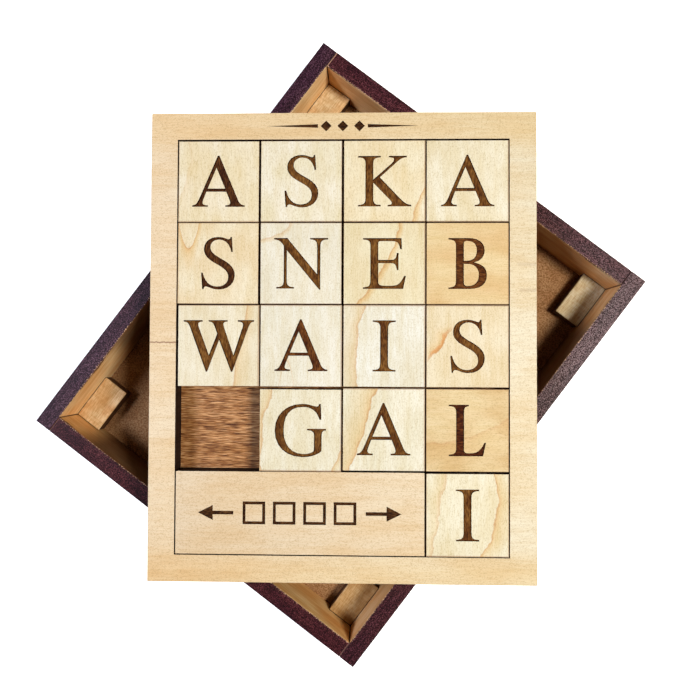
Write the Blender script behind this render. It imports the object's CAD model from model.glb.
"""Sliding letter-tile puzzle in a wooden tray, lying across its open storage box.

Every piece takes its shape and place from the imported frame. This script softens the sawn and laser-cut
edges, sorts the faces by how the workshop finished them, and gives each wood its own grain.
"""

import logging
import math
from collections.abc import Callable
from dataclasses import dataclass, field
from enum import Enum

import bmesh
import bpy
from mathutils import Matrix, Vector


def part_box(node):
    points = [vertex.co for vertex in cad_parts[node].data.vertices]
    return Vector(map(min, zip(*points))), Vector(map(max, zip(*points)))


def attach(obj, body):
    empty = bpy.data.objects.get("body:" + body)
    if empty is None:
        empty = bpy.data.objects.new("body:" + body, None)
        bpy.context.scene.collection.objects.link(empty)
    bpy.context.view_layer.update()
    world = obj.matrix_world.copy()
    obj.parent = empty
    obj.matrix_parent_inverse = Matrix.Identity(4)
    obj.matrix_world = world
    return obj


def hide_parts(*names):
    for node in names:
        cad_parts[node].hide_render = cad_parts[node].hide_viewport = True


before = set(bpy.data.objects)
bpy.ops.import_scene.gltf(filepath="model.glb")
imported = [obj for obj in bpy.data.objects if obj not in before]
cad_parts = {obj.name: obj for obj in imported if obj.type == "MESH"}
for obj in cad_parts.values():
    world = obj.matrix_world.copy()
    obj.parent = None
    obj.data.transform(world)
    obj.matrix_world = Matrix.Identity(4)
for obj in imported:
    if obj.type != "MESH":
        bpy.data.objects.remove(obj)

log = logging.getLogger("puzzle")

MM = 0.001

# How a face lies, by the height of its normal.
DEAD_LEVEL = 0.99
LEVEL = 0.9
STEEP = 0.5
UPRIGHT = 0.1

# How close counts as the same: two heights, an edge and an outline, a face and the outline that it rings.
SAME_HEIGHT = 0.01 * MM
ON_OUTLINE = 0.05 * MM
EDGE_RING = 0.5 * MM
SHARP_TURN = math.radians(60)

WOOD_IOR = 1.5
WHITE = "#ffffff"

# The natural patterns: how far apart two seeds take them, how rough they are, and where most of their values lie.
SEED_STEP = (7.31, 3.77, 1.93)
PATTERN_ROUGHNESS = 0.55
PATTERN_SPREAD = (0.3, 0.7)
BUMP_STRENGTH = 0.7

# A Mix node has sockets for each type of value, so the ones for colours go by number.
MIX_AMOUNT, MIX_BELOW, MIX_ABOVE, MIX_COLOUR = 0, 6, 7, 2

Material = bpy.types.Material
Piece = bpy.types.Object
Socket = bpy.types.NodeSocket
Face = bmesh.types.BMFace
Edge = bmesh.types.BMEdge
Inputs = dict[int | str, object]
Stops = tuple[tuple[float, str], ...]
FaceTest = Callable[[Face], bool]
EdgeTest = Callable[[Edge], bool]
Coats = tuple[tuple[Material, FaceTest | None], ...]
Point = tuple[float, float]
Place = tuple[float, float, float]


class Grain(Enum):
    """The way that a board's fibres run, as the turn in degrees that lays them along Y."""

    ALONG_Y = 0.0
    ALONG_X = 90.0


class Burn(Enum):
    """How deep a laser engraving is charred, as the dark, middle and light tones of its floor."""

    LIGHT = ("#47290b", "#684219", "#875d2b")
    WARM = ("#3a1a07", "#5a3110", "#7a4c22")
    DEEP = ("#291206", "#48270d", "#6a421e")
    RED = ("#2a0c03", "#481e08", "#693a16")
    ORNAMENT = ("#251206", "#42260c", "#613f20")


# ---- Materials: the common parts ----


def linear(colour: str) -> tuple[float, float, float, float]:
    """Turn an sRGB hex colour to the linear values that a shader takes.

    Args:
        colour: Six hex digits, with a leading #.

    Returns:
        Red, green and blue in linear light, and an alpha of 1.
    """
    parts = [int(colour[i : i + 2], 16) / 255 for i in (1, 3, 5)]
    light = [p / 12.92 if p <= 0.04045 else ((p + 0.055) / 1.055) ** 2.4 for p in parts]
    return (light[0], light[1], light[2], 1.0)


def add_node(
    tree: bpy.types.NodeTree, kind: str, inputs: Inputs | None = None, out: int | str = 0, stops: Stops = (),
    **settings: object,
) -> Socket:
    """Add one node, with its settings and links.

    Args:
        tree: The node tree that it goes in.
        kind: The last part of Blender's name for the node.
        inputs: Sockets by name or number, each with a value or with the socket that feeds it.
        out: The output to give back.
        stops: The positions and hex colours of a colour ramp.
        settings: The node's own properties.

    Returns:
        The node's output.
    """
    made = tree.nodes.new(f"ShaderNode{kind}")
    for name, value in settings.items():
        setattr(made, name, value)
    for key, value in (inputs or {}).items():
        if isinstance(value, Socket):
            tree.links.new(value, made.inputs[key])
        else:
            made.inputs[key].default_value = value
    for number, (position, colour) in enumerate(stops):
        elements = made.color_ramp.elements
        # A new ramp already has its first two stops.
        stop = elements[number] if number < 2 else elements.new(position)
        stop.position, stop.color = position, linear(colour)
    return made.outputs[out]


@dataclass
class Recipe:
    """One dielectric material as it is put together, with its lengths in millimetres.

    Attributes:
        name: What the finish is.
        roughness: The even roughness.
        closed: The specular level: 0.5 for a closed surface, and less where pores swallow the shine.
        ior: The refractive index.
        material: The material, once started.
        shader: Its shader.
    """

    name: str
    roughness: float
    closed: float = 0.5
    ior: float = WOOD_IOR
    material: Material = field(init=False)
    shader: bpy.types.Node = field(init=False)

    def __post_init__(self) -> None:
        """Start the material with its shader."""
        self.material = bpy.data.materials.new(self.name)
        self.material.use_nodes = True
        self.shader = self.material.node_tree.nodes["Principled BSDF"]
        self.shader.inputs["Roughness"].default_value = self.roughness
        self.shader.inputs["IOR"].default_value = self.ior
        self.shader.inputs["Specular IOR Level"].default_value = self.closed

    def add(self, kind: str, inputs: Inputs | None = None, **options: object) -> Socket:
        """Add one node to the material, as add_node does."""
        return add_node(self.material.node_tree, kind, inputs, **options)

    def where(self, middle: Point = (0.0, 0.0), turn: float = 0.0) -> Socket:
        """Give the place on the object in millimetres.

        Args:
            middle: The point that becomes the origin.
            turn: An anticlockwise turn about that point, in degrees.

        Returns:
            The coordinates.
        """
        turned = Matrix.Rotation(math.radians(turn), 2) @ -Vector(middle)
        here = self.add("TexCoord", out="Object")
        return self.add(
            "Mapping",
            {"Vector": here, "Location": (*turned, 0.0), "Rotation": (0.0, 0.0, math.radians(turn)),
             "Scale": (1 / MM,) * 3},
        )

    def figure(self, place: Socket, size: Place, seed: float, detail: float = 2.0) -> Socket:
        """Give an uneven natural pattern whose patches have a real size.

        Args:
            place: The place on the object in millimetres.
            size: The patches' size along X, Y and Z.
            seed: Which part of the endless pattern is taken.
            detail: How many finer layers it has.

        Returns:
            Values round 0.5.
        """
        start = tuple(seed * step for step in SEED_STEP)
        stretched = self.add("Mapping", {"Vector": place, "Scale": tuple(1 / s for s in size), "Location": start})
        return self.add(
            "TexNoise", {"Vector": stretched, "Scale": 1.0, "Detail": detail, "Roughness": PATTERN_ROUGHNESS}
        )

    def shade(self, colour: Socket, pattern: Socket, stops: Stops, amount: float | Socket = 1.0) -> Socket:
        """Tint a colour by the tones that a pattern picks, as a thin wash does.

        Args:
            colour: The colour below.
            pattern: The values that pick the tones.
            stops: The tones, where white leaves the colour as it is.
            amount: How strong the wash is, from 0 to 1.

        Returns:
            The tinted colour.
        """
        tones = self.add("ValToRGB", {0: pattern}, stops=stops)
        layers = {MIX_AMOUNT: amount, MIX_BELOW: colour, MIX_ABOVE: tones}
        return self.add("Mix", layers, out=MIX_COLOUR, data_type="RGBA", blend_type="MULTIPLY")

    def cover(
        self, colour: Socket, tint: str, pattern: Socket, low: float, high: float, amount: float = 1.0
    ) -> Socket:
        """Cover a colour where a pattern passes from low to high.

        Args:
            colour: The colour below.
            tint: The colour on top.
            pattern: The values that say where it shows.
            low: The value where it starts.
            high: The value where it is full.
            amount: How much of it shows there, from 0 to 1.

        Returns:
            The new colour.
        """
        mask = self.add(
            "MapRange",
            {"Value": pattern, "From Min": low, "From Max": high, "To Max": amount},
            interpolation_type="SMOOTHSTEP",
        )
        layers = {MIX_AMOUNT: mask, MIX_BELOW: colour, MIX_ABOVE: linear(tint)}
        return self.add("Mix", layers, out=MIX_COLOUR, data_type="RGBA")

    def finish(self, colour: Socket, height: Socket, relief: float, sheen: Point | None = None) -> Material:
        """Feed the shader.

        Args:
            colour: The surface's colour.
            height: The relief, from 0 to 1.
            relief: How deep the relief is, in millimetres.
            sheen: The roughness in the hollows and on the ridges, where it varies.

        Returns:
            The finished material.
        """
        links = self.material.node_tree.links
        links.new(colour, self.shader.inputs["Base Color"])
        bump = self.add("Bump", {"Height": height, "Strength": BUMP_STRENGTH, "Distance": relief * MM})
        links.new(bump, self.shader.inputs["Normal"])
        if sheen:
            low, high = PATTERN_SPREAD
            gloss = self.add(
                "MapRange",
                {"Value": height, "From Min": low, "From Max": high, "To Min": sheen[0], "To Max": sheen[1]},
            )
            links.new(gloss, self.shader.inputs["Roughness"])
        return self.material


# ---- Materials: the finishes ----


@dataclass(frozen=True)
class Streak:
    """A mineral streak in maple: a feathered orange line with a stain that fades to one side.

    Attributes:
        at: A point on the line, from the piece's middle.
        lean: How far the line leans clockwise from the fibres, in degrees.
        bow: How much the line bends towards its clear side, per millimetre.
        reach: How far the stain reaches.
        strength: How plain it is, from 0 to 1.
        stain: The stain's tone beside the line.
        run: How far it runs to either side of that point before it has faded out.
        line: The line's own tone.
        faint: The stain's tone where it has nearly faded out.
        meander: How far the line wanders.
        fray: How far its edge is feathered.
    """

    at: Point
    lean: float
    bow: float
    reach: float
    strength: float
    stain: str = "#f6dcb4"
    run: float = 100.0
    line: str = "#e2b17c"
    faint: str = "#f8e8cb"
    meander: float = 3.0
    fray: float = 0.9

    def draw(self, recipe: Recipe, colour: Socket, middle: Point, seed: float) -> Socket:
        """Draw the streak over the plain wood.

        Args:
            recipe: The material.
            colour: The plain wood.
            middle: The piece's middle.
            seed: Which part of the pattern is taken.

        Returns:
            The colour with the streak.
        """
        place = recipe.where((middle[0] + self.at[0], middle[1] + self.at[1]), self.lean)
        across = recipe.add("SeparateXYZ", {0: place}, out="X")
        up = recipe.add("SeparateXYZ", {0: place}, out="Y")
        squared = recipe.add("Math", {0: up, 1: up}, operation="MULTIPLY")
        distance = recipe.add("Math", {0: squared, 1: self.bow, 2: across}, operation="MULTIPLY_ADD")
        wander = recipe.figure(place, (7.0, 7.0, 7.0), seed=seed, detail=1.0)
        feather = recipe.figure(place, (0.9, 1.6, 1.6), seed=seed + 1.0, detail=2.0)
        distance = recipe.add("Math", {0: wander, 1: self.meander, 2: distance}, operation="MULTIPLY_ADD")
        distance = recipe.add("Math", {0: feather, 1: self.fray, 2: distance}, operation="MULTIPLY_ADD")
        # The ramp spans the stain's reach on both sides, with the line in the middle at 0.5. The line comes in
        # over a quarter of a millimetre on its clear side and gives way to the stain over half of one.
        span = 2 * self.reach
        centre = 0.5 - (self.meander + self.fray) / 2 / span
        level = recipe.add("Math", {0: distance, 1: 1 / span, 2: centre}, operation="MULTIPLY_ADD")
        stops = (
            (0.5 - 0.25 / span, WHITE),
            (0.5, self.line),
            (0.5 + 0.5 / span, self.stain),
            (0.5 + 0.25 * self.reach / span, self.faint),
            (1.0, WHITE),
        )
        along = recipe.add("Math", {0: up}, operation="ABSOLUTE")
        fade = recipe.add(
            "MapRange",
            {"Value": along, "From Min": 0.3 * self.run, "From Max": self.run, "To Min": self.strength, "To Max": 0.0},
            interpolation_type="SMOOTHSTEP",
        )
        return recipe.shade(colour, level, stops, fade)


@dataclass(frozen=True)
class SandedMaple:
    """Sanded bare maple veneer: cream wood, a tight straight grain and short darker flecks.

    The laser has toasted the last fraction of a millimetre beside each cut. Real fibres are about 0.1 mm wide
    and are drawn at two to three times that, so that they show.
    """

    name: str
    pale: str
    warm: str
    grain: Grain
    seed: float
    middle: Point
    half_side: float
    streaks: tuple[Streak, ...]
    toasted: str = "#8f6238"

    def make(self) -> Material:
        """Build the material.

        Returns:
            The finished material.
        """
        recipe = Recipe(self.name, roughness=0.6)
        along = recipe.where(self.middle, self.grain.value)
        fibre = recipe.figure(along, (0.28, 3.4, 3.0), seed=self.seed, detail=3.0)
        flecks = recipe.figure(along, (0.24, 0.5, 0.5), seed=self.seed + 3.0, detail=1.0)
        bands = recipe.figure(along, (2.2, 16.0, 8.0), seed=self.seed + 5.0, detail=1.0)
        clouds = recipe.figure(along, (8.0, 13.0, 9.0), seed=self.seed + 7.0, detail=1.0)
        colour = recipe.add("ValToRGB", {0: clouds}, stops=((0.36, self.pale), (0.64, self.warm)))
        for number, streak in enumerate(self.streaks):
            colour = streak.draw(recipe, colour, self.middle, self.seed + 13.0 * number)
        colour = recipe.shade(colour, bands, ((0.35, "#f9f5ea"), (0.6, WHITE)), amount=0.8)
        colour = recipe.shade(colour, fibre, ((0.34, "#f1ebdb"), (0.58, WHITE)), amount=0.7)
        colour = recipe.shade(colour, flecks, ((0.52, WHITE), (0.7, "#e0d8c4")), amount=0.75)
        colour = recipe.cover(colour, self.toasted, self._cut_distance(recipe), low=0.36, high=0.0, amount=0.6)
        return recipe.finish(colour, fibre, relief=0.02, sheen=(0.66, 0.56))

    def _cut_distance(self, recipe: Recipe) -> Socket:
        """Give the distance in from the nearest cut.

        Args:
            recipe: The material.

        Returns:
            The distance in millimetres.
        """
        place = recipe.where(self.middle)
        across = recipe.add("Math", {0: recipe.add("SeparateXYZ", {0: place}, out="X")}, operation="ABSOLUTE")
        up = recipe.add("Math", {0: recipe.add("SeparateXYZ", {0: place}, out="Y")}, operation="ABSOLUTE")
        farther = recipe.add("Math", {0: across, 1: up}, operation="MAXIMUM")
        return recipe.add("Math", {0: self.half_side, 1: farther}, operation="SUBTRACT")


@dataclass(frozen=True)
class HairMark:
    """A hair crack or a thin mineral line across a rail of the frame, out to the rail's outer edge.

    Attributes:
        at: Its inner end.
        side: Which way it runs: -1 to the left and 1 to the right.
        half_width: Half of its width where it has faded out.
        strength: How plain it is, from 0 to 1.
        tint: Its colour.
        wander: How far it strays up and down.
    """

    at: Point
    side: float
    half_width: float
    strength: float
    tint: str = "#7a4a26"
    wander: float = 0.9

    def draw(self, recipe: Recipe, colour: Socket) -> Socket:
        """Draw the mark over the face.

        Args:
            recipe: The material.
            colour: The face's colour.

        Returns:
            The colour with the mark.
        """
        place = recipe.where(self.at)
        across = recipe.add("SeparateXYZ", {0: place}, out="X")
        up = recipe.add("SeparateXYZ", {0: place}, out="Y")
        jags = recipe.figure(place, (1.1, 30.0, 30.0), seed=17.0, detail=3.0)
        off_line = recipe.add("Math", {0: jags, 1: self.wander, 2: up}, operation="MULTIPLY_ADD")
        off_line = recipe.add("Math", {0: off_line, 1: self.wander / 2}, operation="SUBTRACT")
        width = recipe.add("Math", {0: off_line}, operation="ABSOLUTE")
        short_of = recipe.add("Math", {0: across, 1: -self.side}, operation="MULTIPLY")
        inside = recipe.add("Math", {0: short_of, 1: width}, operation="MAXIMUM")
        full = self.half_width / 4
        return recipe.cover(colour, self.tint, inside, low=self.half_width, high=full, amount=self.strength)


@dataclass(frozen=True)
class FramePlywood:
    """Maple-faced plywood, sanded: a tan face with fine flecks, faint growth bands and pin knots.

    Its tone drifts from the left of the sheet to the right, and is warmer towards its two ends.

    Attributes:
        name: What the finish is.
        seed: Which part of the wood's pattern is taken.
        left: Its tone on the left.
        right: Its tone on the right.
        outer_bands: The tint of its two ends.
        half_width: Half of the sheet's width.
        half_length: Half of the length that the bands are laid out on.
        bands_start: How far from the middle the tint of the ends starts.
        bands_full: How far from the middle it is full.
        knot: The tone of the pin knots.
        knot_spacing: How far apart they are.
        marks: The hair marks across its rails.
    """

    name: str
    seed: float
    left: str = "#e3d0b0"
    right: str = "#dbd2b8"
    outer_bands: str = "#fcf2df"
    half_width: float = 60.0
    half_length: float = 100.0
    bands_start: float = 60.0
    bands_full: float = 68.0
    knot: str = "#8a5a33"
    knot_spacing: float = 23.0
    marks: tuple[HairMark, ...] = ()

    def make(self) -> Material:
        """Build the material.

        Returns:
            The finished material.
        """
        recipe = Recipe(self.name, roughness=0.58)
        place = recipe.where()
        along = recipe.where(turn=Grain.ALONG_X.value)
        fibre = recipe.figure(along, (0.3, 3.2, 3.2), seed=self.seed, detail=3.0)
        flecks = recipe.figure(along, (0.26, 0.44, 0.4), seed=self.seed + 4.0, detail=1.0)
        bands = recipe.figure(along, (2.4, 34.0, 20.0), seed=self.seed + 2.0, detail=2.0)
        clouds = recipe.figure(along, (14.0, 26.0, 30.0), seed=self.seed + 6.0, detail=1.0)
        across = recipe.add("SeparateXYZ", {0: place}, out="X")
        level = recipe.add("Math", {0: across, 1: 0.5 / self.half_width, 2: 0.5}, operation="MULTIPLY_ADD")
        colour = recipe.add("ValToRGB", {0: level}, stops=((0.0, self.left), (1.0, self.right)))
        up = recipe.add("Math", {0: recipe.add("SeparateXYZ", {0: place}, out="Y")}, operation="ABSOLUTE")
        outward = recipe.add("Math", {0: up, 1: 1 / self.half_length}, operation="MULTIPLY")
        bands_at = (self.bands_start / self.half_length, self.bands_full / self.half_length)
        colour = recipe.shade(colour, outward, tuple(zip(bands_at, (WHITE, self.outer_bands))))
        colour = recipe.shade(colour, clouds, ((0.36, "#faf1e2"), (0.62, WHITE)), amount=0.9)
        colour = recipe.shade(colour, bands, ((0.36, "#f6eddd"), (0.56, WHITE)), amount=0.5)
        colour = recipe.shade(colour, fibre, ((0.34, "#f1e8d9"), (0.58, WHITE)), amount=0.6)
        colour = recipe.shade(colour, flecks, ((0.52, WHITE), (0.7, "#ddd2c0")), amount=0.75)
        spread = {"Vector": place, "Scale": 1 / self.knot_spacing, "Randomness": 1.0}
        knots = recipe.add("TexVoronoi", spread, out="Distance")
        colour = recipe.cover(colour, self.knot, knots, low=0.016, high=0.006, amount=0.7)
        for mark in self.marks:
            colour = mark.draw(recipe, colour)
        return recipe.finish(colour, fibre, relief=0.02, sheen=(0.64, 0.54))


@dataclass(frozen=True)
class PlyEdge:
    """A cut plywood edge: plies of long and end grain by turns, scorched if a laser cut it.

    Fine upright scan marks show in the scorch.

    Attributes:
        name: What the finish is.
        foot: The height of the sheet's underside.
        dark: The tone of the end-grain plies.
        light: The tone of the others.
        thickness: The sheet's thickness.
        plies: How many plies it has.
        ply_contrast: How plain they are, from 0 to 1.
    """

    name: str
    foot: float
    dark: str
    light: str
    thickness: float = 6.35
    plies: int = 5
    ply_contrast: float = 0.5

    def make(self) -> Material:
        """Build the material.

        Returns:
            The finished material.
        """
        recipe = Recipe(self.name, roughness=0.75, closed=0.15)
        place = recipe.where()
        height = recipe.add("SeparateXYZ", {0: place}, out="Z")
        per_ply = self.plies / self.thickness
        layers = recipe.add("Math", {0: height, 1: per_ply, 2: -self.foot * per_ply}, operation="MULTIPLY_ADD")
        turns = recipe.add("Math", {0: layers, 1: 1.0}, operation="PINGPONG")
        upright = recipe.figure(place, (0.3, 0.3, 9.0), seed=2.0, detail=2.0)
        soot = recipe.figure(place, (3.0, 3.0, 1.5), seed=6.0, detail=3.0)
        fibre = recipe.figure(place, (4.0, 4.0, 0.16), seed=8.0, detail=2.0)
        colour = recipe.add("ValToRGB", {0: upright}, stops=((0.3, self.dark), (0.72, self.light)))
        colour = recipe.cover(colour, self.dark, turns, low=0.45, high=0.6, amount=self.ply_contrast)
        colour = recipe.shade(colour, fibre, ((0.35, "#cdb9a2"), (0.6, WHITE)), amount=0.6)
        colour = recipe.shade(colour, soot, ((0.3, "#a09082"), (0.65, WHITE)), amount=0.7)
        return recipe.finish(colour, upright, relief=0.05)


@dataclass(frozen=True)
class EngravedFloor:
    """The floor of a laser engraving: red-brown char, streaked along the wood's grain."""

    name: str
    grain: Grain
    seed: float
    burn: Burn

    def make(self) -> Material:
        """Build the material.

        Returns:
            The finished material.
        """
        recipe = Recipe(self.name, roughness=0.8, closed=0.12)
        along = recipe.where(turn=self.grain.value)
        streaks = recipe.figure(along, (0.36, 1.5, 0.5), seed=self.seed, detail=3.0)
        patches = recipe.figure(along, (2.6, 4.5, 2.0), seed=self.seed + 4.0, detail=2.0)
        stops = tuple(zip((0.33, 0.5, 0.68), self.burn.value))
        colour = recipe.add("ValToRGB", {0: streaks}, stops=stops)
        colour = recipe.shade(colour, patches, ((0.36, "#b89a80"), (0.6, WHITE)), amount=0.8)
        return recipe.finish(colour, streaks, relief=0.05)


@dataclass(frozen=True)
class Char:
    """The charred wall and margin of an engraving: a matte crust, nearly black."""

    name: str
    dark: str = "#1d0e05"
    light: str = "#43260f"

    def make(self) -> Material:
        """Build the material.

        Returns:
            The finished material.
        """
        recipe = Recipe(self.name, roughness=0.85, closed=0.1)
        crust = recipe.figure(recipe.where(), (0.3, 0.3, 0.3), seed=1.0, detail=2.0)
        colour = recipe.add("ValToRGB", {0: crust}, stops=((0.35, self.dark), (0.68, self.light)))
        return recipe.finish(colour, crust, relief=0.03)


@dataclass(frozen=True)
class BrownBoard:
    """An oiled, open-grained brown board: short dark and light streaks, woven closely along X."""

    name: str
    dark: str = "#532a0c"
    middle: str = "#a76f3c"
    light: str = "#e3b37f"

    def make(self) -> Material:
        """Build the material.

        Returns:
            The finished material.
        """
        recipe = Recipe(self.name, roughness=0.55, closed=0.25)
        along = recipe.where(turn=Grain.ALONG_X.value)
        streaks = recipe.figure(along, (0.14, 3.8, 0.35), seed=1.0, detail=3.0)
        pores = recipe.figure(along, (0.2, 4.0, 0.3), seed=5.0, detail=1.0)
        bands = recipe.figure(along, (3.4, 30.0, 12.0), seed=9.0, detail=2.0)
        stops = ((0.36, self.dark), (0.49, self.middle), (0.64, self.light))
        colour = recipe.add("ValToRGB", {0: streaks}, stops=stops)
        colour = recipe.shade(colour, bands, ((0.36, "#c9b592"), (0.6, WHITE)), amount=0.75)
        colour = recipe.shade(colour, pores, ((0.53, WHITE), (0.66, "#7a5638")), amount=0.8)
        return recipe.finish(colour, streaks, relief=0.06, sheen=(0.58, 0.42))


@dataclass(frozen=True)
class WallRun:
    """How a box wall lies, for the finishes on it.

    Attributes:
        turn: The turn that brings the box square to the axes, in degrees.
        is_long: Whether it is a long wall, which runs along Y once the box is square.
        inner_half: Half of the width between the two walls' inner faces.
        end_half: Half of the length between the inner faces of the two walls that cross it.
        rim: The rim's height.
    """

    turn: float
    is_long: bool
    inner_half: float
    end_half: float
    rim: float

    def along(self, recipe: Recipe) -> Socket:
        """Give the place with the wall's length along Y."""
        return recipe.where(turn=self.turn if self.is_long else self.turn + Grain.ALONG_X.value)

    def square(self, recipe: Recipe, axis: str) -> Socket:
        """Give one coordinate, X or Y, with the box square."""
        return recipe.add("SeparateXYZ", {0: recipe.where(turn=self.turn)}, out=axis)

    def out(self, recipe: Recipe) -> Socket:
        """Give the distance out from the wall's inner face."""
        across = recipe.add("Math", {0: self.square(recipe, "X" if self.is_long else "Y")}, operation="ABSOLUTE")
        return recipe.add("Math", {0: across, 1: self.inner_half}, operation="SUBTRACT")

    def place(self, recipe: Recipe) -> Socket:
        """Give the place along the wall, from its middle."""
        return self.square(recipe, "Y" if self.is_long else "X")

    def beyond_corner(self, recipe: Recipe) -> Socket:
        """Give the distance along the wall past the inner corner at either end."""
        up = recipe.add("Math", {0: self.place(recipe)}, operation="ABSOLUTE")
        return recipe.add("Math", {0: up, 1: self.end_half}, operation="SUBTRACT")


@dataclass(frozen=True)
class StainedWood:
    """Dark wine-brown spirit stain, wiped on: open pores take more of it and ridges less.

    The stain runs out raggedly at the inner edge of the rim. A short wall shows a hairline at each
    end, where it butts against a long one: bare wood where the joint was sanded, dark where it is open.
    The real grit is about 0.1 mm wide and is drawn at twice that, so that it shows.

    Attributes:
        name: What the finish is.
        run: How the wall lies.
        seam_left: The hairline's tone at the wall's left end.
        seam_right: The hairline's tone at its right end.
        dark: The tone in the pores.
        middle: The tone between them.
        light: The tone on the ridges.
        bare: The bare wood at the rim's inner edge.
        fray: How raggedly the stain runs out there.
        corner_guard: How fast that stops past an inner corner.
        rubbed: The greyish tone of the ridges where handling has rubbed them.
        haze: How much they are rubbed, from 0 to 1.
        rubbed_from: The place along the wall past which they are rubbed no more than there.
        grit_weight: How many millimetres along the wall a whole step of grit counts for.
    """

    name: str
    run: WallRun
    seam_left: str = "#7a5653"
    seam_right: str = "#7c5a55"
    dark: str = "#1b0508"
    middle: str = "#40151a"
    light: str = "#79454b"
    bare: str = "#eec299"
    fray: float = 3.0
    corner_guard: float = 9.0
    rubbed: str = "#a38f90"
    haze: float = 0.0
    rubbed_from: float = 45.0
    grit_weight: float = 260.0

    def make(self) -> Material:
        """Build the material.

        Returns:
            The finished material.
        """
        recipe = Recipe(self.name, roughness=0.5, closed=0.14)
        along = self.run.along(recipe)
        grit = recipe.figure(along, (0.21, 0.3, 0.26), seed=3.0, detail=1.0)
        grain = recipe.figure(along, (0.6, 9.0, 0.6), seed=7.0, detail=3.0)
        blotches = recipe.figure(along, (5.0, 12.0, 6.0), seed=9.0, detail=2.0)
        colour = recipe.add("ValToRGB", {0: grit}, stops=((0.41, self.dark), (0.52, self.middle), (0.63, self.light)))
        colour = recipe.shade(colour, grain, ((0.34, "#9c8a92"), (0.58, WHITE)), amount=0.7)
        colour = recipe.shade(colour, blotches, ((0.34, "#bda6cc"), (0.62, WHITE)), amount=0.6)
        nearer = recipe.add("Math", {0: self.run.place(recipe), 1: self.rubbed_from}, operation="MINIMUM")
        rubbing = recipe.add("Math", {0: grit, 1: self.grit_weight, 2: nearer}, operation="MULTIPLY_ADD")
        colour = recipe.cover(colour, self.rubbed, rubbing, low=150.0, high=225.0, amount=self.haze)
        ragged = recipe.figure(along, (0.36, 0.36, 0.36), seed=13.0, detail=2.0)
        past = recipe.add("Math", {0: self.run.beyond_corner(recipe), 1: 0.0}, operation="MAXIMUM")
        clear = recipe.add("Math", {0: past, 1: self.corner_guard, 2: self.run.out(recipe)}, operation="MULTIPLY_ADD")
        worn = recipe.add("Math", {0: ragged, 1: -self.fray, 2: clear}, operation="MULTIPLY_ADD")
        colour = recipe.cover(colour, self.bare, worn, low=-1.35, high=-1.75, amount=0.85)
        if not self.run.is_long:
            colour = self._seams(recipe, ragged, colour)
        return recipe.finish(colour, grit, relief=0.06, sheen=(0.6, 0.36))

    def _seams(self, recipe: Recipe, ragged: Socket, colour: Socket) -> Socket:
        """Draw the hairline at each end of a short wall.

        Args:
            recipe: The material.
            ragged: The fine pattern that breaks the line.
            colour: The stained colour.

        Returns:
            The colour with both hairlines.
        """
        for tint, side in ((self.seam_left, -1.0), (self.seam_right, 1.0)):
            across = self.run.square(recipe, "X")
            past = recipe.add("Math", {0: across, 1: side, 2: -self.run.end_half}, operation="MULTIPLY_ADD")
            past = recipe.add("Math", {0: ragged, 1: 0.3, 2: past}, operation="MULTIPLY_ADD")
            colour = recipe.cover(colour, tint, past, low=-0.22, high=-0.02, amount=0.9)
        return colour


@dataclass(frozen=True)
class BareWood:
    """The unstained inner face of a box wall: golden brown, with stain that bled over the rim.

    A dark line of glue shows down each inner corner. Away from the corners some stain has soaked in.

    Attributes:
        name: What the finish is.
        run: How the wall lies.
        soak: How strong the soaked stretch is, from 0 to 1.
        soak_middle: Its middle, along the wall.
        soak_half: Half of its length.
        soak_fade: How long each of its ends fades.
        pale: The wood's lighter tone.
        warm: The wood's deeper tone.
        stain: The tone of the stain that bled over the rim.
        glue: The tone of the glue.
        soaked: The tone of the stain that soaked in.
        bleed: How far the stain's edge is frayed, finely.
        spill: How far that edge comes and goes, in broad patches.
    """

    name: str
    run: WallRun
    soak: float
    soak_middle: float
    soak_half: float = 27.0
    soak_fade: float = 12.0
    pale: str = "#f6d5a4"
    warm: str = "#e6b378"
    stain: str = "#4a2722"
    glue: str = "#4f2c14"
    soaked: str = "#3c160b"
    bleed: float = 1.4
    spill: float = 5.0

    def make(self) -> Material:
        """Build the material.

        Returns:
            The finished material.
        """
        recipe = Recipe(self.name, roughness=0.6, closed=0.25)
        along = self.run.along(recipe)
        fibre = recipe.figure(along, (0.5, 7.0, 0.36), seed=5.0, detail=3.0)
        bands = recipe.figure(along, (2.0, 40.0, 3.4), seed=8.0, detail=1.0)
        clouds = recipe.figure(along, (9.0, 16.0, 9.0), seed=11.0, detail=1.0)
        colour = recipe.add("ValToRGB", {0: clouds}, stops=((0.34, self.pale), (0.66, self.warm)))
        colour = recipe.shade(colour, bands, ((0.34, "#e9d3b6"), (0.6, WHITE)), amount=0.7)
        colour = recipe.shade(colour, fibre, ((0.32, "#dcc6a8"), (0.6, WHITE)), amount=0.7)
        frayed = recipe.figure(along, (0.6, 0.6, 0.6), seed=21.0, detail=2.0)
        patches = recipe.figure(along, (9.0, 14.0, 9.0), seed=25.0, detail=1.0)
        height = recipe.add("SeparateXYZ", {0: recipe.where()}, out="Z")
        above = recipe.add("Math", {0: height, 1: self.run.rim}, operation="SUBTRACT")
        reach = recipe.add("Math", {0: frayed, 1: self.bleed, 2: above}, operation="MULTIPLY_ADD")
        reach = recipe.add("Math", {0: patches, 1: self.spill, 2: reach}, operation="MULTIPLY_ADD")
        colour = recipe.cover(colour, self.stain, reach, low=2.9, high=3.5, amount=0.85)
        offset = recipe.add("Math", {0: self.run.place(recipe), 1: self.soak_middle}, operation="SUBTRACT")
        offset = recipe.add("Math", {0: offset}, operation="ABSOLUTE")
        full = self.soak_half - self.soak_fade
        colour = recipe.cover(colour, self.soaked, offset, low=self.soak_half, high=full, amount=self.soak)
        colour = recipe.cover(colour, self.glue, self.run.beyond_corner(recipe), low=-0.42, high=-0.12, amount=0.85)
        return recipe.finish(colour, fibre, relief=0.04, sheen=(0.62, 0.5))


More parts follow.
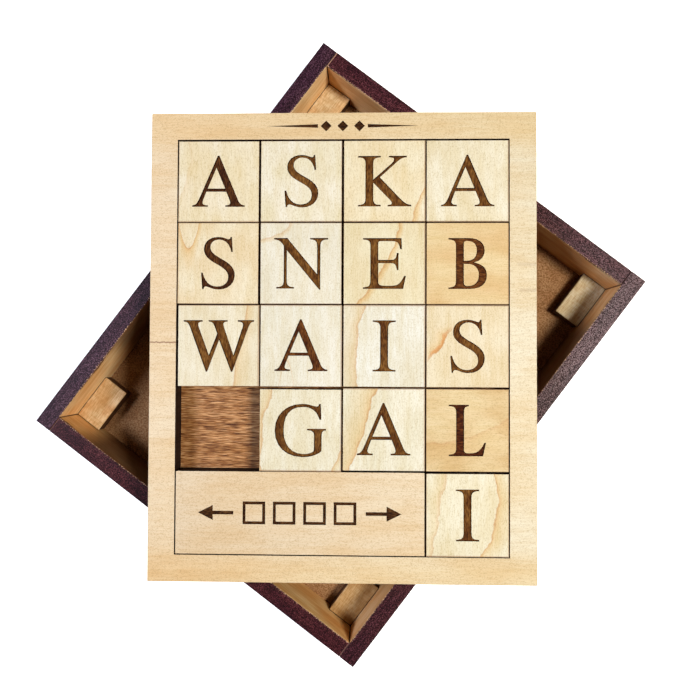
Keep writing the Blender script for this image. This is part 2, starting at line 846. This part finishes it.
@dataclass(frozen=True)
class SawnBlock:
    """A light hardwood block straight from the saw, its fibres along the long side.

    Glue has darkened the edges that meet the walls.
    """

    name: str
    turn: float
    inner_half: Point
    pale: str
    warm: str
    glue: str = "#3d2210"

    def make(self) -> Material:
        """Build the material.

        Returns:
            The finished material.
        """
        recipe = Recipe(self.name, roughness=0.55, closed=0.3)
        along = recipe.where(turn=self.turn)
        fibre = recipe.figure(along, (0.4, 2.6, 0.4), seed=2.0, detail=3.0)
        saw = recipe.figure(along, (9.0, 0.6, 9.0), seed=6.0, detail=1.0)
        clouds = recipe.figure(along, (5.0, 9.0, 5.0), seed=9.0, detail=1.0)
        colour = recipe.add("ValToRGB", {0: clouds}, stops=((0.35, self.pale), (0.66, self.warm)))
        colour = recipe.shade(colour, fibre, ((0.34, "#d8c2a0"), (0.6, WHITE)), amount=0.8)
        colour = recipe.shade(colour, saw, ((0.36, "#eee0cc"), (0.58, WHITE)), amount=0.6)
        for axis, half in zip(("X", "Y"), self.inner_half):
            across = recipe.add("SeparateXYZ", {0: along}, out=axis)
            reach = recipe.add("Math", {0: across}, operation="ABSOLUTE")
            colour = recipe.cover(colour, self.glue, reach, low=half - 0.45, high=half - 0.22, amount=0.9)
        return recipe.finish(colour, fibre, relief=0.05, sheen=(0.6, 0.44))


@dataclass(frozen=True)
class Hardboard:
    """The box's hardboard floor: matte pressed fibres, matted in all directions."""

    name: str
    dark: str = "#77522f"
    light: str = "#b18860"

    def make(self) -> Material:
        """Build the material.

        Returns:
            The finished material.
        """
        recipe = Recipe(self.name, roughness=0.9, closed=0.15)
        place = recipe.where()
        mat = recipe.figure(place, (0.5, 0.5, 0.5), seed=3.0, detail=3.0)
        clouds = recipe.figure(place, (8.0, 8.0, 8.0), seed=8.0, detail=2.0)
        colour = recipe.add("ValToRGB", {0: mat}, stops=((0.34, self.dark), (0.66, self.light)))
        colour = recipe.shade(colour, clouds, ((0.36, "#dccbb9"), (0.62, WHITE)), amount=0.7)
        return recipe.finish(colour, mat, relief=0.08)


# ---- Shaping: what the workshop does to each piece ----


def copy_of(node: str, name: str) -> Piece:
    """Start a piece from a frame node, as one clean closed shell.

    Args:
        node: The frame node that the piece stands for.
        name: The new piece's name.

    Returns:
        The piece, alone in the selection and active.
    """
    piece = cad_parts[node].copy()
    piece.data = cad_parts[node].data.copy()
    piece.name = piece.data.name = name
    piece.data.materials.clear()
    bpy.context.scene.collection.objects.link(piece)
    bpy.ops.object.select_all(action="DESELECT")
    piece.select_set(True)
    bpy.context.view_layer.objects.active = piece
    bpy.ops.object.mode_set(mode="EDIT")
    bpy.ops.mesh.select_all(action="SELECT")
    bpy.ops.mesh.remove_doubles(threshold=0.002 * MM)
    bpy.ops.mesh.dissolve_limited(angle_limit=math.radians(0.5))
    bpy.ops.object.mode_set(mode="OBJECT")
    bpy.ops.object.shade_flat()
    return piece


def select(piece: Piece, edges: EdgeTest | None = None, faces: FaceTest | None = None) -> None:
    """Enter edit mode and select the edges or the faces that pass a test.

    Args:
        piece: The piece, active and in object mode.
        edges: The test for its edges.
        faces: The test for its faces, where there is none for its edges.
    """
    bpy.ops.object.mode_set(mode="EDIT")
    bpy.ops.mesh.select_mode(type="EDGE" if edges else "FACE")
    bpy.ops.mesh.select_all(action="DESELECT")
    shape = bmesh.from_edit_mesh(piece.data)
    for part in shape.edges if edges else shape.faces:
        part.select_set((edges or faces)(part))
    bmesh.update_edit_mesh(piece.data)


def soften(piece: Piece, test: EdgeTest, width: float) -> None:
    """Round the edges that pass a test.

    Args:
        piece: The piece, active and in object mode.
        test: The test for its edges.
        width: How far each side of an edge is taken back, in millimetres.
    """
    select(piece, edges=test)
    bpy.ops.mesh.bevel(offset=width * MM, segments=2, profile=0.5, affect="EDGES", clamp_overlap=True)
    bpy.ops.object.mode_set(mode="OBJECT")


def is_sharp(edge: Edge) -> bool:
    """Tell whether an edge is a real corner of a board."""
    return len(edge.link_faces) == 2 and edge.calc_face_angle(0.0) > SHARP_TURN


def lies_at(face: Face, height: float) -> bool:
    """Tell whether a face is level, looks up and lies at a height in metres."""
    return face.normal.z > LEVEL and abs(face.calc_center_median().z - height) < SAME_HEIGHT


def meets_wall(face: Face) -> bool:
    """Tell whether an upright face rises from a level one."""
    return any(abs(other.normal.z) < STEEP for edge in face.edges for other in edge.link_faces)


def line_engraving(piece: Piece, floor_z: float, width: float) -> None:
    """Set a narrow margin round the floor of every engraving on a piece.

    Args:
        piece: The piece, active and in object mode.
        floor_z: The height of the engravings' floor, in metres.
        width: The margin's width, in millimetres.
    """
    select(piece, faces=lambda face: lies_at(face, floor_z))
    bpy.ops.mesh.inset(thickness=width * MM, depth=0.0, use_boundary=True, use_even_offset=True)
    bpy.ops.object.mode_set(mode="OBJECT")


def engraving_coats(floor_z: float, floor: Material, char: Material, is_wall: FaceTest) -> Coats:
    """Give the coats of an engraving: a browned floor inside charred walls with a charred margin.

    Args:
        floor_z: The height of its floor, in metres.
        floor: The finish of the floor.
        char: The finish of the walls and of the margin.
        is_wall: The test for the faces of its walls.

    Returns:
        The coats, for dress.
    """
    return (
        (char, lambda spot: lies_at(spot, floor_z) and meets_wall(spot)),
        (floor, lambda spot: lies_at(spot, floor_z)),
        (char, is_wall),
    )


def dress(piece: Piece, coats: Coats) -> None:
    """Give each face of a piece its finish.

    Args:
        piece: The piece, in object mode.
        coats: Materials and the tests for their faces. A face takes the first that it passes,
            and the one with no test takes the rest.
    """
    slots = list(dict.fromkeys(material for material, _ in coats))
    for material in slots:
        piece.data.materials.append(material)
    shape = bmesh.new()
    shape.from_mesh(piece.data)
    for face in shape.faces:
        face.material_index = slots.index(next(coat for coat, test in coats if test is None or test(face)))
    shape.to_mesh(piece.data)
    shape.free()


def settle(piece: Piece, node: str, body: str) -> Piece:
    """Hand a finished piece to the frame.

    Args:
        piece: The piece.
        node: The frame node that it stands for.
        body: The body that it moves with.

    Returns:
        The piece.
    """
    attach(piece, body)
    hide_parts(node)
    log.info("%s stands for %s on %s", piece.name, node, body)
    return piece


# ---- The storage box ----


# The lighter and the deeper tone of each corner block's wood, by the corner that it stands in.
BLOCKS: dict[str, tuple[str, str]] = {
    "head_left": ("#e9d2a8", "#dcb681"),
    "head_right": ("#cfc6aa", "#bba97f"),
    "foot_left": ("#ecd2a6", "#dbb078"),
    "foot_right": ("#bb9c6c", "#a98452"),
}


@dataclass
class StorageBox:
    """The open box: stained walls, a hardboard floor and four blocks that carry the tray.

    Attributes:
        turn: How far the box is turned clockwise under the tray, in degrees.
        inner_x: Its inner width, with the box square.
        inner_y: Its inner length.
        wall_edge: How far the walls' edges are softened.
        block_edge: How far the blocks' edges are softened.
        floor_edge: How far the floor board's edges are softened.
        burnt_sides: The two tones of the blocks' sides, which the saw burnt.
        body: The body that the box is.
    """

    turn: float = 37.0
    inner_x: float = 121.5
    inner_y: float = 147.3
    wall_edge: float = 0.3
    block_edge: float = 0.35
    floor_edge: float = 0.15
    burnt_sides: tuple[str, str] = ("#5e3f26", "#442b18")
    body: str = "storage_box"

    def build(self) -> list[Piece]:
        """Build every piece of the box.

        Returns:
            The floor, the four walls and the four blocks.
        """
        half_x, half_y = self.inner_x / 2, self.inner_y / 2
        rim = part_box("long_wall_left")[1].z / MM
        long_run = WallRun(self.turn, True, half_x, half_y, rim)
        short_run = WallRun(self.turn, False, half_y, half_x, rim)
        return [
            self._floor(),
            self._wall(
                "long_wall_left",
                StainedWood("wine_stain_left_wall", long_run, dark="#1c0a13", middle="#381823", light="#6b4a58"),
                BareWood(
                    "bare_left_wall", long_run, soak=0.8, soak_middle=-15.0, soak_half=36.0,
                    pale="#ffe3b0", warm="#fcc988",
                ),
                Vector((1, 0, 0)),
            ),
            self._wall(
                "long_wall_right",
                StainedWood(
                    "wine_stain_right_wall", long_run, dark="#1b060a", middle="#3e171b", light="#6e4146", haze=0.5
                ),
                BareWood("bare_right_wall", long_run, soak=0.85, soak_middle=34.0, soak_half=30.0),
                Vector((-1, 0, 0)),
            ),
            self._wall(
                "short_wall_head",
                StainedWood("wine_stain_head_wall", short_run, seam_left="#d8a587", seam_right="#12080a", haze=0.2),
                BareWood("bare_head_wall", short_run, soak=0.3, soak_middle=26.0),
                Vector((0, -1, 0)),
            ),
            self._wall(
                "short_wall_foot",
                StainedWood("wine_stain_foot_wall", short_run, middle="#3d1216", light="#6b393d"),
                BareWood(
                    "bare_foot_wall", short_run, soak=0.85, soak_middle=-29.0, pale="#eccb90", warm="#dca866"
                ),
                Vector((0, 1, 0)),
            ),
            *(self._block(f"corner_block_{place}", *tones, (half_x, half_y)) for place, tones in BLOCKS.items()),
        ]

    def _wall(self, node: str, stained: StainedWood, bare: BareWood, inward: Vector) -> Piece:
        """Build one wall, stained all over apart from its inner face.

        Args:
            node: The frame node.
            stained: The stained finish.
            bare: The finish of the inner face.
            inward: The way that the inner face looks, with the box square.

        Returns:
            The piece.
        """
        piece = copy_of(node, f"{node}_board")
        soften(piece, is_sharp, self.wall_edge)
        looks_in = Matrix.Rotation(math.radians(-self.turn), 3, "Z") @ inward
        dress(piece, ((bare.make(), lambda face: face.normal.dot(looks_in) > LEVEL), (stained.make(), None)))
        return settle(piece, node, self.body)

    def _block(self, node: str, pale: str, warm: str, inner_half: Point) -> Piece:
        """Build one corner block.

        Args:
            node: The frame node.
            pale: The lighter tone of its wood.
            warm: The deeper tone of its wood.
            inner_half: Half of the box's inner width and length.

        Returns:
            The piece.
        """
        sawn = SawnBlock(f"sawn_hardwood_{node}", self.turn, inner_half, pale, warm).make()
        piece = copy_of(node, f"{node}_sawn")
        soften(piece, is_sharp, self.block_edge)
        burnt = SawnBlock(f"saw_burnt_{node}", self.turn, inner_half, *self.burnt_sides).make()
        dress(piece, ((burnt, lambda face: abs(face.normal.z) < UPRIGHT), (sawn, None)))
        return settle(piece, node, self.body)

    def _floor(self) -> Piece:
        """Build the floor board.

        Returns:
            The piece.
        """
        piece = copy_of("box_floor", "box_floor_board")
        soften(piece, is_sharp, self.floor_edge)
        dress(piece, ((Hardboard("pressed_hardboard").make(), None),))
        return settle(piece, "box_floor", self.body)


# ---- The puzzle tray ----


@dataclass
class PuzzleTray:
    """The tray: a laser-cut frame and plaque on a brown base board.

    Attributes:
        engrave_depth: How deep the ornaments are engraved.
        char_margin: How wide the char is round the ornaments' floors.
        outer_edge: How far the sanded outer edges are softened.
        cut_edge: How far the laser-cut edges are softened.
        rim_free: How far in from the outline the first engraving lies, at least.
        frame_marks: The hair marks on the frame's rails.
        body: The body that the tray is.
    """

    engrave_depth: float = 0.4
    char_margin: float = 0.12
    outer_edge: float = 0.3
    cut_edge: float = 0.1
    rim_free: float = 2.0
    frame_marks: tuple[HairMark, ...] = (
        HairMark((-50.0, 2.5), side=-1.0, half_width=0.34, strength=0.75),
        HairMark((56.5, 27.0), side=1.0, half_width=0.9, strength=0.16),
        HairMark((57.0, 19.0), side=1.0, half_width=0.8, strength=0.22),
    )
    body: str = "puzzle_tray"

    def build(self) -> list[Piece]:
        """Build every piece of the tray.

        Returns:
            The frame, the plaque and the base board.
        """
        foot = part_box("tray_frame")[0].z / MM
        kerf = PlyEdge("laser_cut_ply_edge", foot, dark="#1c0f08", light="#402a1e").make()
        sanded = PlyEdge("sanded_ply_edge", foot, dark="#a67c4f", light="#dcb98a").make()
        frame_face = FramePlywood("frame_maple_plywood", seed=2.0, marks=self.frame_marks).make()
        plaque_face = FramePlywood("plaque_maple_plywood", seed=41.0, left="#dccaad", right="#dccbab").make()
        return [
            self._cut_sheet("tray_frame", self.outer_edge, frame_face, kerf, sanded),
            self._cut_sheet("plaque", self.cut_edge, plaque_face, kerf, kerf),
            self._base(),
        ]

    def _cut_sheet(
        self, node: str, edge_width: float, face: Material, kerf: Material, outside: Material
    ) -> Piece:
        """Build a flat laser-cut piece with its engraving.

        Args:
            node: The frame node.
            edge_width: How far its outline is softened.
            face: The plywood's face.
            kerf: Its edges inside the window.
            outside: Its edges round the outline.

        Returns:
            The piece.
        """
        low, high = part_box(node)
        floor_z = high.z - self.engrave_depth * MM
        piece = copy_of(node, f"{node}_sheet")

        def from_outline(at: Vector) -> float:
            """Give the distance in from the nearest side."""
            return min(at.x - low.x, high.x - at.x, at.y - low.y, high.y - at.y)

        def on_outline(edge: Edge) -> bool:
            """Tell whether an edge is a corner along the outline."""
            return is_sharp(edge) and from_outline((edge.verts[0].co + edge.verts[1].co) / 2) < ON_OUTLINE

        def in_engraving(spot: Face) -> bool:
            """Tell whether a face is a wall of an engraving, and no deeper than its floor."""
            is_shallow = min(corner.co.z for corner in spot.verts) > floor_z - SAME_HEIGHT
            is_inside = from_outline(spot.calc_center_median()) > self.rim_free * MM
            return abs(spot.normal.z) < STEEP and is_shallow and is_inside

        soften(piece, on_outline, edge_width)
        line_engraving(piece, floor_z, self.char_margin)
        char = Char(f"charred_{node}_engraving").make()
        floor = EngravedFloor(f"engraved_{node}_floor", Grain.ALONG_X, seed=3.0, burn=Burn.ORNAMENT).make()
        dress(
            piece,
            (
                *engraving_coats(floor_z, floor, char, in_engraving),
                (face, lambda spot: abs(spot.normal.z) > LEVEL),
                (outside, lambda spot: from_outline(spot.calc_center_median()) < EDGE_RING),
                (kerf, None),
            ),
        )
        return settle(piece, node, self.body)

    def _base(self) -> Piece:
        """Build the base board.

        Returns:
            The piece.
        """
        piece = copy_of("tray_base", "tray_base_board")
        soften(piece, is_sharp, self.outer_edge)
        dress(piece, ((BrownBoard("oiled_open_grain_board").make(), None),))
        return settle(piece, "tray_base", self.body)


# ---- The letter tiles ----


@dataclass(frozen=True)
class TileBoard:
    """The bit of board that one tile was cut from, and how it sits in its cell.

    Attributes:
        seed: Which part of the wood's pattern is taken.
        pale: The lighter tone of its wood.
        warm: The deeper tone of its wood.
        shift: How far it sits off the middle of its cell.
        turn: How far it is turned in its cell, in degrees.
        grain: The way that its fibres run.
        streaks: Its mineral streaks.
        burn: How deep its letter is charred.
    """

    seed: float
    pale: str
    warm: str
    shift: Point
    turn: float = 0.0
    grain: Grain = Grain.ALONG_Y
    streaks: tuple[Streak, ...] = ()
    burn: Burn = Burn.LIGHT


# The sixteen tiles, by their letter and by the row and column of their cell.
TILES: dict[str, TileBoard] = {
    "a_r1c1": TileBoard(
        1.0, "#e4dac1", "#dfd1ae", (-0.1, -0.15), 0.1, burn=Burn.DEEP,
        streaks=(Streak((-9, 4), lean=8, bow=0.03, reach=9, strength=0.2),),
    ),
    "s_r1c2": TileBoard(2.0, "#e4ddc9", "#ddd4b6", (0.05, -0.05)),
    "k_r1c3": TileBoard(
        3.0, "#e3d9bc", "#dfd0ac", (0.2, -0.1), -0.1,
        streaks=(Streak((10.6, -8), lean=22, bow=0, reach=1.6, strength=0.8),),
    ),
    "a_r1c4": TileBoard(4.0, "#e2dbc4", "#dbd0b1", (0.15, -0.12)),
    "s_r2c1": TileBoard(
        5.0, "#e3d7ba", "#ddcaa4", (-0.1, 0.05), 0.15, burn=Burn.DEEP,
        streaks=(Streak((-9.3, 4.5), lean=90, bow=0.8, reach=7, strength=0.9),),
    ),
    "n_r2c2": TileBoard(
        6.0, "#e1dccb", "#dbd5c1", (0.05, 0.05),
        streaks=(Streak((-8, 8.5), lean=62, bow=0.05, reach=1.4, strength=0.55),),
    ),
    "e_r2c3": TileBoard(
        7.0, "#dfd6b7", "#d9cba6", (0.2, 0.0),
        streaks=(Streak((1.8, 3), lean=23, bow=0.01, reach=1.8, strength=0.9),),
    ),
    "b_r2c4": TileBoard(8.0, "#dac496", "#d2b37f", (0.12, 0.0), grain=Grain.ALONG_X, burn=Burn.WARM),
    "w_r3c1": TileBoard(
        9.0, "#e2dac3", "#dcd1b4", (0.3, 0.15), -0.12,
        streaks=(Streak((7.4, 2), lean=9, bow=0, reach=4, strength=0.7),),
    ),
    "a_r3c2": TileBoard(
        10.0, "#e1ddce", "#dbd6c3", (0.2, 0.2), burn=Burn.WARM,
        streaks=(Streak((-4.3, -4.5), lean=-90, bow=1.5, reach=1.3, strength=0.6),),
    ),
    "i_r3c3": TileBoard(
        11.0, "#e0ded1", "#dad5c2", (0.2, 0.2), 0.08,
        streaks=(Streak((-8.2, 2), lean=187, bow=0.01, reach=9, strength=0.75),),
    ),
    "s_r3c4": TileBoard(
        12.0, "#ded3b8", "#d8c8a5", (0.1, 0.15),
        streaks=(Streak((-8.4, 0.5), lean=214, bow=0, reach=4, strength=1.0, stain="#efb67c", run=8.0),),
    ),
    "g_r4c2": TileBoard(
        13.0, "#e2decc", "#dbd4bb", (0.15, -0.28), 0.12,
        streaks=(
            Streak((-10.6, 6), lean=194, bow=0.01, reach=5, strength=0.75),
            Streak((11.3, -10), lean=18, bow=0, reach=3, strength=0.7),
        ),
    ),
    "a_r4c3": TileBoard(
        14.0, "#e2decc", "#dad4bc", (0.15, 0.15),
        streaks=(Streak((-5.5, 2), lean=198, bow=0, reach=9, strength=0.9),),
    ),
    "l_r4c4": TileBoard(
        15.0, "#d7c296", "#ccaf7c", (0.05, 0.05), grain=Grain.ALONG_X, burn=Burn.RED,
        streaks=(Streak((3, -1), lean=70, bow=0.01, reach=9, strength=0.32),),
    ),
    "i_r5c4": TileBoard(
        16.0, "#e0dac2", "#dad0b1", (0.12, -0.15), -0.06,
        streaks=(
            Streak((8.5, -4), lean=16, bow=0.02, reach=5, strength=0.8),
            Streak((-9, -2), lean=190, bow=0, reach=4, strength=0.5),
        ),
    ),
}


@dataclass
class LetterTiles:
    """The sixteen loose tiles, cut and engraved by laser from maple plywood.

    Attributes:
        engrave_depth: How deep the letters are engraved.
        char_margin: How wide the char is round the letters' floors.
        lip: How far the outer edges are softened.
        letter_free: How far in from the tile's sides its letter lies, at least.
        dark_tiles: The tiles of darker maple, which have their own material slot.
    """

    engrave_depth: float = 0.4
    char_margin: float = 0.18
    lip: float = 0.1
    letter_free: float = 1.0
    dark_tiles: tuple[str, ...] = ("b_r2c4", "l_r4c4")

    def build(self) -> list[Piece]:
        """Build every tile.

        Returns:
            The tiles, row by row.
        """
        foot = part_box("tile_a_r1c1")[0].z / MM
        kerf = PlyEdge("laser_cut_tile_edge", foot, dark="#150b06", light="#33211a").make()
        lip = Char("scorched_tile_lip", dark="#3c2412", light="#7a5431").make()
        char = Char("charred_letter_wall").make()
        return [self._tile(place, board, kerf, lip, char) for place, board in TILES.items()]

    def _tile(self, place: str, board: TileBoard, kerf: Material, lip: Material, char: Material) -> Piece:
        """Build one tile.

        Args:
            place: The tile's letter and cell, as in its frame node's name.
            board: The board that it was cut from.
            kerf: The finish of its sides.
            lip: The finish of its upper edges.
            char: The finish of its letter's walls.

        Returns:
            The piece.
        """
        node = f"tile_{place}"
        low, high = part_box(node)
        middle = (low + high) / 2
        half = (high.x - low.x) / 2
        floor_z = high.z - self.engrave_depth * MM
        piece = copy_of(node, f"{node}_maple")

        def reach(at: Vector) -> float:
            """Give the distance from the middle, along X or Y, whichever is longer."""
            return max(abs(at.x - middle.x), abs(at.y - middle.y))

        def on_outline(edge: Edge) -> bool:
            """Tell whether an edge is a corner along the outline."""
            return is_sharp(edge) and reach((edge.verts[0].co + edge.verts[1].co) / 2) > half - ON_OUTLINE

        def in_letter(spot: Face) -> bool:
            """Tell whether a face is a wall of the letter."""
            return abs(spot.normal.z) < STEEP and reach(spot.calc_center_median()) < half - self.letter_free * MM

        soften(piece, on_outline, self.lip)
        line_engraving(piece, floor_z, self.char_margin)
        face = SandedMaple(
            f"sanded_maple_{place}", board.pale, board.warm, board.grain, board.seed,
            (middle.x / MM, middle.y / MM), half / MM, board.streaks,
        ).make()
        floor = EngravedFloor(f"engraved_floor_{place}", board.grain, board.seed, board.burn).make()
        dress(
            piece,
            (
                *engraving_coats(floor_z, floor, char, in_letter),
                (face, lambda spot: abs(spot.normal.z) > DEAD_LEVEL),
                (kerf, lambda spot: abs(spot.normal.z) < UPRIGHT),
                (lip, None),
            ),
        )
        self._sit(piece, middle, board)
        return settle(piece, node, f"letter_{place}")

    @staticmethod
    def _sit(piece: Piece, middle: Vector, board: TileBoard) -> None:
        """Let a loose tile sit slightly off the middle of its cell, within the gap round it.

        Args:
            piece: The tile, active and in object mode.
            middle: The middle of its cell.
            board: How it sits there.
        """
        bpy.ops.object.mode_set(mode="EDIT")
        bpy.ops.mesh.select_all(action="SELECT")
        bpy.ops.transform.rotate(value=math.radians(board.turn), orient_axis="Z", center_override=tuple(middle))
        bpy.ops.transform.translate(value=(board.shift[0] * MM, board.shift[1] * MM, 0.0))
        bpy.ops.object.mode_set(mode="OBJECT")


# ---- The studio ----


@dataclass(frozen=True)
class SoftBox:
    """One soft light that looks at the middle of the tray.

    Attributes:
        name: Its name.
        offset: Its place from the middle of the tray, in metres.
        share: How bright it makes a white sheet there, where 1 is display white.
        size: Its width and height, in metres.
        colour: Its colour, as sRGB hex.
    """

    name: str
    offset: Place
    share: float
    size: Point
    colour: str

    def hang(self, target: Vector) -> None:
        """Hang it over the point that it looks at.

        Args:
            target: The point, in metres.
        """
        way = Vector(self.offset).normalized()
        distance = Vector(self.offset).length
        bpy.ops.object.light_add(type="AREA", location=target + Vector(self.offset))
        light = bpy.context.active_object
        light.name = self.name
        light.data.shape = "RECTANGLE"
        light.data.size, light.data.size_y = self.size
        # A small area light of this power gives a level white sheet at the target the wanted brightness.
        light.data.energy = self.share * (math.pi * distance) ** 2 / way.z
        light.data.color = linear(self.colour)[:3]
        light.rotation_euler = way.to_track_quat("Z", "Y").to_euler()


@dataclass
class Studio:
    """The pale floor, the soft lights and the camera above the tray.

    Attributes:
        lights: The two soft lights.
        room_light: The strength of the light from overhead.
        wall_light: The strength of the light from the horizon.
        wall_height: How high the horizon's light reaches, as the sine of its elevation.
        floor_half: Half of the floor's side, in metres.
        floor_tone: The floor's colour.
        floor_glow: The strength of the floor's own light, as on a light table.
        camera_at: The camera's place, in millimetres.
        camera_lean: Its turn about X, Y and Z, in degrees.
        lens: Its focal length, in millimetres.
        sensor: The width of its sensor, in millimetres.
        nearest: The nearest distance that it sees, in metres.
    """

    lights: tuple[SoftBox, ...] = (
        SoftBox("window_left", (-0.42, 0.05, 0.45), share=0.56, size=(0.12, 0.18), colour="#e6edff"),
        SoftBox("lamp_right", (0.28, -0.04, 0.43), share=0.87, size=(0.08, 0.14), colour="#fff9f0"),
    )
    room_light: float = 0.01
    wall_light: float = 0.7
    wall_height: float = 0.3
    floor_half: float = 6.0
    floor_tone: str = "#f4f4f3"
    floor_glow: float = 0.8
    camera_at: Place = (8.7, -3.6, 226.0)
    camera_lean: Place = (1.167, 1.327, 0.242)
    lens: float = 31.9
    sensor: float = 36.0
    nearest: float = 0.01

    def build(self) -> None:
        """Set the stage, the lights, the room and the camera."""
        scene = bpy.context.scene
        scene.view_settings.view_transform = "Standard"
        self._floor()
        target = Vector((0.0, 0.0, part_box("tray_frame")[1].z))
        for light in self.lights:
            light.hang(target)
        scene.world = self._room()
        scene.camera = self._camera()

    def _floor(self) -> None:
        """Lay the white light-table floor that the box stands on."""
        bpy.ops.mesh.primitive_plane_add(size=2 * self.floor_half, location=(0, 0, 0))
        floor = bpy.context.active_object
        floor.name = "studio_floor"
        paper = Recipe("white_paper", roughness=0.9)
        paper.shader.inputs["Base Color"].default_value = linear(self.floor_tone)
        paper.shader.inputs["Emission Color"].default_value = linear(WHITE)
        paper.shader.inputs["Emission Strength"].default_value = self.floor_glow
        floor.data.materials.append(paper.material)

    def _room(self) -> bpy.types.World:
        """Make the light of the room: pale walls all round, and almost none from overhead.

        Returns:
            The world.
        """
        world = bpy.data.worlds.new("studio_room")
        world.use_nodes = True
        tree = world.node_tree
        height = add_node(tree, "SeparateXYZ", {0: add_node(tree, "TexCoord", out="Generated")}, out="Z")
        strength = add_node(
            tree,
            "MapRange",
            {"Value": height, "From Max": self.wall_height, "To Min": self.wall_light, "To Max": self.room_light},
        )
        back = tree.nodes["Background"]
        back.inputs["Color"].default_value = linear(WHITE)
        tree.links.new(strength, back.inputs["Strength"])
        return world

    def _camera(self) -> bpy.types.Object:
        """Put the camera above the tray, leaning slightly.

        Returns:
            The camera.
        """
        bpy.ops.object.camera_add(
            location=Vector(self.camera_at) * MM,
            rotation=[math.radians(angle) for angle in self.camera_lean],
        )
        camera = bpy.context.active_object
        camera.name = "camera"
        camera.data.lens = self.lens
        camera.data.sensor_width = self.sensor
        camera.data.clip_start = self.nearest
        return camera


def main() -> None:
    """Build the puzzle and the studio."""
    logging.basicConfig(level=logging.INFO, format="%(name)s: %(message)s")
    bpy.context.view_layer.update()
    pieces = StorageBox().build() + PuzzleTray().build() + LetterTiles().build()
    log.info("%d pieces built", len(pieces))
    Studio().build()


if __name__ == "__main__":
    main()
